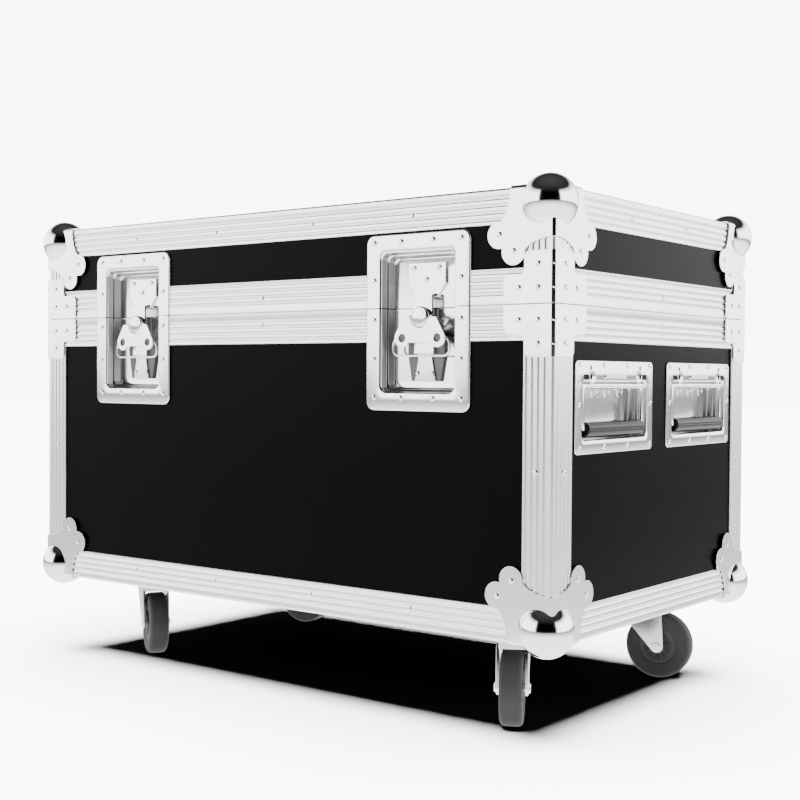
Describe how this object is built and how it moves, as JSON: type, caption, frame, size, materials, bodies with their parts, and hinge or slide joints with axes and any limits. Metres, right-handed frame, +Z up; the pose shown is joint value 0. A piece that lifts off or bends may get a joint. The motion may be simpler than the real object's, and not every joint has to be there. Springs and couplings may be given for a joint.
{
  "type": "hard equipment case",
  "caption": "Plywood equipment case with aluminium edges, a hinged lid, recessed latches and handles, ball corners and swivel castors.",
  "frame": {"origin": "on the floor under the middle of the case", "axes": "+X along the case to its right end, +Y to the hinged back, +Z up; the latches face -Y"},
  "size_m": [0.762, 0.4548, 0.5374],
  "materials": {
    "laminate": "plywood with a black semi-gloss laminate face",
    "aluminium": "satin anodised, grooved",
    "ball_steel": "polished ball, bright zinc plates",
    "tyre": "matt grey rubber",
    "bail": "zinc-plated wire with a black grip",
    "castor_steel": "bright zinc plate",
    "hinge_steel": "bright zinc plate",
    "dish_steel": "bright zinc plate, pressed",
    "latch_steel": "bright zinc plate"
  },
  "bodies": {
    "base": {"base_front_panel": "laminate", "base_back_panel": "laminate", "base_left_panel": "laminate", "base_right_panel": "laminate", "base_floor_panel": "laminate", "base_edge_frame": "aluminium", "base_rim": "aluminium", "base_rim_front": "aluminium", "hinge_leaf_base": "hinge_steel", "base_corner_front_left": "ball_steel", "base_corner_front_right": "ball_steel", "base_corner_back_left": "ball_steel", "base_corner_back_right": "ball_steel", "latch_left_base_dish": "dish_steel", "latch_right_base_dish": "dish_steel", "handle_left_front_dish": "dish_steel", "handle_left_back_dish": "dish_steel", "handle_right_front_dish": "dish_steel", "handle_right_back_dish": "dish_steel", "castor_front_right_plate": "castor_steel", "castor_front_left_plate": "castor_steel", "castor_back_right_plate": "castor_steel", "castor_back_left_plate": "castor_steel"},
    "lid": {"lid_top_panel": "laminate", "lid_front_panel": "laminate", "lid_back_panel": "laminate", "lid_left_panel": "laminate", "lid_right_panel": "laminate", "lid_edge_frame": "aluminium", "lid_rim": "aluminium", "lid_rim_front": "aluminium", "hinge_leaf_lid": "hinge_steel", "lid_corner_front_left": "ball_steel", "lid_corner_front_right": "ball_steel", "lid_corner_back_left": "ball_steel", "lid_corner_back_right": "ball_steel", "latch_left_lid_dish": "dish_steel", "latch_right_lid_dish": "dish_steel", "latch_left_keeper": "latch_steel", "latch_right_keeper": "latch_steel"},
    "latch_left_spindle": {"latch_left_spindle": "latch_steel"},
    "latch_left_hook": {"latch_left_hook": "latch_steel"},
    "latch_left_butterfly": {"latch_left_butterfly": "latch_steel"},
    "latch_right_spindle": {"latch_right_spindle": "latch_steel"},
    "latch_right_hook": {"latch_right_hook": "latch_steel"},
    "latch_right_butterfly": {"latch_right_butterfly": "latch_steel"},
    "handle_left_front_bail": {"handle_left_front_bail": "bail"},
    "handle_left_back_bail": {"handle_left_back_bail": "bail"},
    "handle_right_front_bail": {"handle_right_front_bail": "bail"},
    "handle_right_back_bail": {"handle_right_back_bail": "bail"},
    "castor_front_right_fork": {"castor_front_right_fork": "castor_steel"},
    "castor_front_right_wheel": {"castor_front_right_wheel": "tyre"},
    "castor_front_left_fork": {"castor_front_left_fork": "castor_steel"},
    "castor_front_left_wheel": {"castor_front_left_wheel": "tyre"},
    "castor_back_right_fork": {"castor_back_right_fork": "castor_steel"},
    "castor_back_right_wheel": {"castor_back_right_wheel": "tyre"},
    "castor_back_right_brake": {"castor_back_right_brake": "castor_steel"},
    "castor_back_left_fork": {"castor_back_left_fork": "castor_steel"},
    "castor_back_left_wheel": {"castor_back_left_wheel": "tyre"},
    "castor_back_left_brake": {"castor_back_left_brake": "castor_steel"}
  },
  "joints": [
    {"name": "lid_hinge", "type": "hinge", "parent": "base", "child": "lid", "pos_m": [0, 0.2215, 0.415], "axis": [-1, 0, 0], "range_deg": [0, 170]},
    {"name": "latch_left_turn", "type": "hinge", "parent": "base", "child": "latch_left_spindle", "pos_m": [-0.211, -0.2108, 0.406], "axis": [0, -1, 0], "range_deg": [0, 180]},
    {"name": "latch_left_draw", "type": "slide", "parent": "base", "child": "latch_left_hook", "axis": [0, 0, 1], "range_m": [0, 0.006]},
    {"name": "latch_left_fold", "type": "hinge", "parent": "latch_left_spindle", "child": "latch_left_butterfly", "pos_m": [-0.211, -0.2086, 0.406], "axis": [-1, 0, 0], "range_deg": [0, 90]},
    {"name": "latch_right_turn", "type": "hinge", "parent": "base", "child": "latch_right_spindle", "pos_m": [0.211, -0.2108, 0.406], "axis": [0, -1, 0], "range_deg": [0, 180]},
    {"name": "latch_right_draw", "type": "slide", "parent": "base", "child": "latch_right_hook", "axis": [0, 0, 1], "range_m": [0, 0.006]},
    {"name": "latch_right_fold", "type": "hinge", "parent": "latch_right_spindle", "child": "latch_right_butterfly", "pos_m": [0.211, -0.2086, 0.406], "axis": [-1, 0, 0], "range_deg": [0, 90]},
    {"name": "handle_left_front_swing", "type": "hinge", "parent": "base", "child": "handle_left_front_bail", "pos_m": [-0.3642, -0.0956, 0.3385], "axis": [0, 1, 0], "range_deg": [0, 90], "stiffness_Nm_per_rad": 0.1},
    {"name": "handle_left_back_swing", "type": "hinge", "parent": "base", "child": "handle_left_back_bail", "pos_m": [-0.3642, 0.0956, 0.3385], "axis": [0, 1, 0], "range_deg": [0, 90], "stiffness_Nm_per_rad": 0.1},
    {"name": "handle_right_front_swing", "type": "hinge", "parent": "base", "child": "handle_right_front_bail", "pos_m": [0.3642, -0.0956, 0.3385], "axis": [0, -1, 0], "range_deg": [0, 90], "stiffness_Nm_per_rad": 0.1},
    {"name": "handle_right_back_swing", "type": "hinge", "parent": "base", "child": "handle_right_back_bail", "pos_m": [0.3642, 0.0956, 0.3385], "axis": [0, -1, 0], "range_deg": [0, 90], "stiffness_Nm_per_rad": 0.1},
    {"name": "castor_front_right_swivel", "type": "hinge", "parent": "base", "child": "castor_front_right_fork", "pos_m": [0.273, -0.128, 0.086], "axis": [0, 0, 1], "continuous": true},
    {"name": "castor_front_right_spin", "type": "hinge", "parent": "castor_front_right_fork", "child": "castor_front_right_wheel", "pos_m": [0.28851, -0.15599, 0.0375], "axis": [0.8746, 0.4848, 0], "continuous": true},
    {"name": "castor_front_left_swivel", "type": "hinge", "parent": "base", "child": "castor_front_left_fork", "pos_m": [-0.273, -0.128, 0.086], "axis": [0, 0, 1], "continuous": true},
    {"name": "castor_front_left_spin", "type": "hinge", "parent": "castor_front_left_fork", "child": "castor_front_left_wheel", "pos_m": [-0.24616, -0.14543, 0.0375], "axis": [0.5446, 0.8387, 0], "continuous": true},
    {"name": "castor_back_right_swivel", "type": "hinge", "parent": "base", "child": "castor_back_right_fork", "pos_m": [0.273, 0.128, 0.086], "axis": [0, 0, 1], "continuous": true},
    {"name": "castor_back_right_spin", "type": "hinge", "parent": "castor_back_right_fork", "child": "castor_back_right_wheel", "pos_m": [0.30418, 0.1352, 0.0375], "axis": [-0.225, 0.9744, 0], "continuous": true},
    {"name": "castor_back_right_brake_press", "type": "hinge", "parent": "castor_back_right_fork", "child": "castor_back_right_brake", "pos_m": [0.3071, 0.13587, 0.0893], "axis": [-0.225, 0.9744, 0], "range_deg": [0, 12]},
    {"name": "castor_back_left_swivel", "type": "hinge", "parent": "base", "child": "castor_back_left_fork", "pos_m": [-0.273, 0.128, 0.086], "axis": [0, 0, 1], "continuous": true},
    {"name": "castor_back_left_spin", "type": "hinge", "parent": "castor_back_left_fork", "child": "castor_back_left_wheel", "pos_m": [-0.24131, 0.13245, 0.0375], "axis": [-0.1392, 0.9903, 0], "continuous": true},
    {"name": "castor_back_left_brake_press", "type": "hinge", "parent": "castor_back_left_fork", "child": "castor_back_left_brake", "pos_m": [-0.23834, 0.13287, 0.0893], "axis": [-0.1392, 0.9903, 0], "range_deg": [0, 12]}
  ],
  "couplings": [
    {"joint": "latch_left_draw", "follows": "latch_left_turn", "m_per_rad": 0.001878},
    {"joint": "latch_right_draw", "follows": "latch_right_turn", "m_per_rad": 0.001878}
  ]
}
